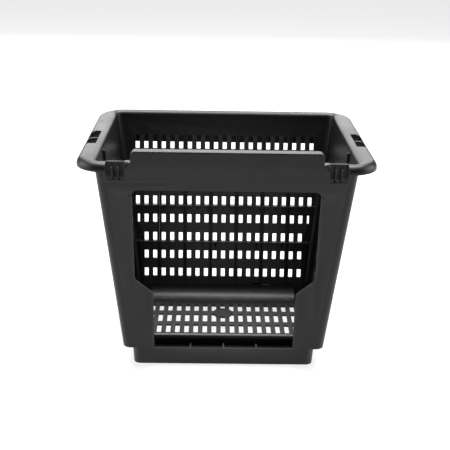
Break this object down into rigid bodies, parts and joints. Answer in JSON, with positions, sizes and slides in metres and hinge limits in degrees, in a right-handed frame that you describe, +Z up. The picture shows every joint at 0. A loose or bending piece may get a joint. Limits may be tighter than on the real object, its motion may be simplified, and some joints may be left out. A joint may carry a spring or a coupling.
{
  "type": "open-fronted nesting basket",
  "caption": "Black plastic stacking basket with a rolled grip rim, perforated rear wall and floor, raised front lip and a large stepped opening in the front.",
  "frame": {"origin": "centre of the bounding box at ground level, under the foot", "axes": "+Z up, -Y towards the open front, +X to the right seen from the front"},
  "size_m": [0.398, 0.318, 0.3375],
  "materials": {
    "moulding": "satin moulded polypropylene, fine grain"
  },
  "bodies": {
    "root": {"cross_rib_lower": "moulding", "cross_rib_middle": "moulding", "cross_rib_upper": "moulding", "floor_apron": "moulding", "floor_disc": "moulding", "floor_grille": "moulding", "foot_left": "moulding", "foot_rear": "moulding", "foot_right": "moulding", "front_band": "moulding", "front_header": "moulding", "front_left_post": "moulding", "front_left_stile": "moulding", "front_lip": "moulding", "front_right_post": "moulding", "front_right_stile": "moulding", "front_sill": "moulding", "left_wall": "moulding", "notch_rib_left_inner": "moulding", "notch_rib_left_outer": "moulding", "notch_rib_right_inner": "moulding", "notch_rib_right_outer": "moulding", "notch_web_left": "moulding", "notch_web_right": "moulding", "opening_bead": "moulding", "rear_band": "moulding", "rear_band_ribs": "moulding", "rear_cove": "moulding", "rear_left_post": "moulding", "rear_right_post": "moulding", "rear_wall": "moulding", "right_wall": "moulding", "rim_front_left_corner": "moulding", "rim_front_right_corner": "moulding", "rim_left": "moulding", "rim_rear": "moulding", "rim_rear_left_corner": "moulding", "rim_rear_right_corner": "moulding", "rim_right": "moulding", "rim_slot_divider_left": "moulding", "rim_slot_divider_right": "moulding", "sill_gusset_left": "moulding", "sill_gusset_middle": "moulding", "sill_gusset_right": "moulding", "stack_rib_left": "moulding", "stack_rib_right": "moulding", "step_left": "moulding", "step_right": "moulding", "trough_floor": "moulding"}
  },
  "joints": []
}
